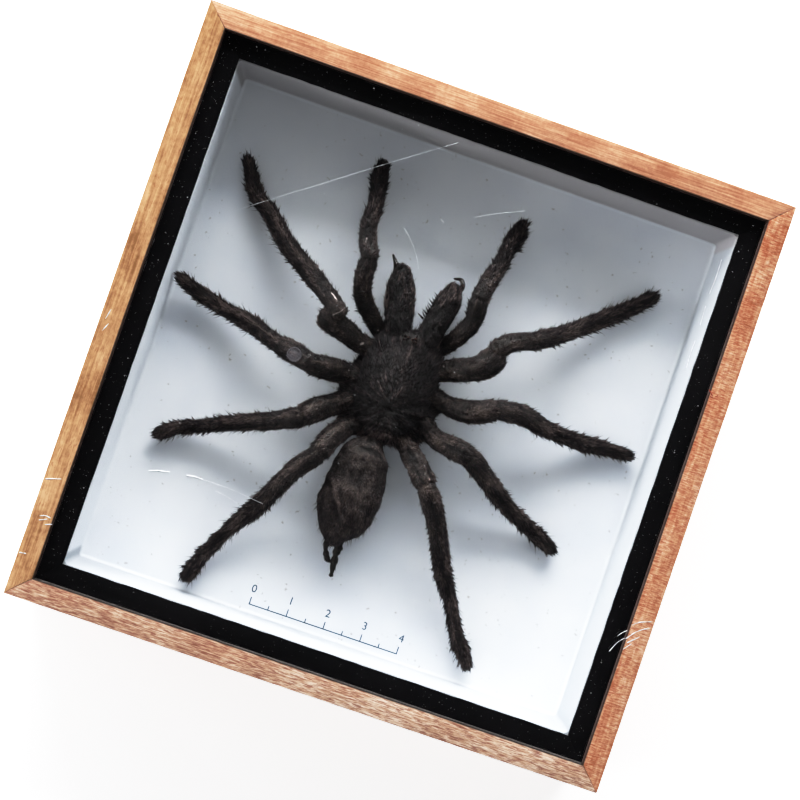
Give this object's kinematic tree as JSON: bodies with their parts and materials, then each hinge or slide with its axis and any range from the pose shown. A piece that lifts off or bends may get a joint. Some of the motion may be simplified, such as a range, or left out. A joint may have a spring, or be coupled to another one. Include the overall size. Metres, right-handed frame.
{
  "type": "framed tarantula specimen",
  "caption": "Dried tarantula with spread legs, mounted on a white board in a shallow square wooden box with a black-edged glass front.",
  "frame": {"origin": "centre of the back face, on the plane of the rails' back edges", "axes": "+Z out of the glass front, +X right along the bottom rail, +Y up the box towards the spider's head"},
  "size_m": [0.152, 0.152, 0.032],
  "materials": {
    "tan_wood": "thin satin varnish, straight grain",
    "orange_wood": "thin satin varnish, flecked grain",
    "red_wood": "thin satin varnish, fine cross flecks",
    "pink_wood": "open coarse grain",
    "white_liner": "matt white paper facing",
    "white_board": "matt white paper facing",
    "plywood": "raw thin plywood",
    "clear_glass": "clear, scratched and dusty",
    "black_mat": "matt black, dusty",
    "nail_steel": "bright wire nail",
    "zinc_plate": "zinc-plated pressed steel",
    "carapace": "dry chitin under short felted hair",
    "limb_skin": "dry wrinkled chitin with short fur and bristles",
    "abdomen_skin": "velvety short fur over shrunken skin",
    "fang": "polished black chitin"
  },
  "bodies": {
    "root": {"rail_bottom": "pink_wood", "rail_right": "red_wood", "rail_top": "tan_wood", "rail_left": "orange_wood", "liner_bottom": "white_liner", "liner_top": "white_liner", "liner_left": "white_liner", "liner_right": "white_liner", "back_panel": "plywood", "backing_board": "white_board", "glass_pane": "clear_glass", "mat_bottom": "black_mat", "mat_right": "black_mat", "mat_top": "black_mat", "mat_left": "black_mat", "panel_nail_1": "nail_steel", "panel_nail_2": "nail_steel", "panel_nail_3": "nail_steel", "panel_nail_4": "nail_steel", "panel_nail_5": "nail_steel", "panel_nail_6": "nail_steel", "panel_nail_7": "nail_steel", "panel_nail_8": "nail_steel", "hanger_plate": "zinc_plate", "hanger_nail_left": "nail_steel", "hanger_nail_right": "nail_steel", "prosoma": "carapace", "abdomen": "abdomen_skin", "chelicera_left": "carapace", "chelicera_right": "carapace", "fang_left": "fang", "fang_right": "fang", "spinneret_left": "abdomen_skin", "spinneret_right": "abdomen_skin", "palp_left": "limb_skin", "palp_right": "limb_skin", "leg_left_1": "limb_skin", "leg_left_2": "limb_skin", "leg_left_3": "limb_skin", "leg_left_4": "limb_skin", "leg_right_1": "limb_skin", "leg_right_2": "limb_skin", "leg_right_3": "limb_skin", "leg_right_4": "limb_skin"}
  },
  "joints": []
}
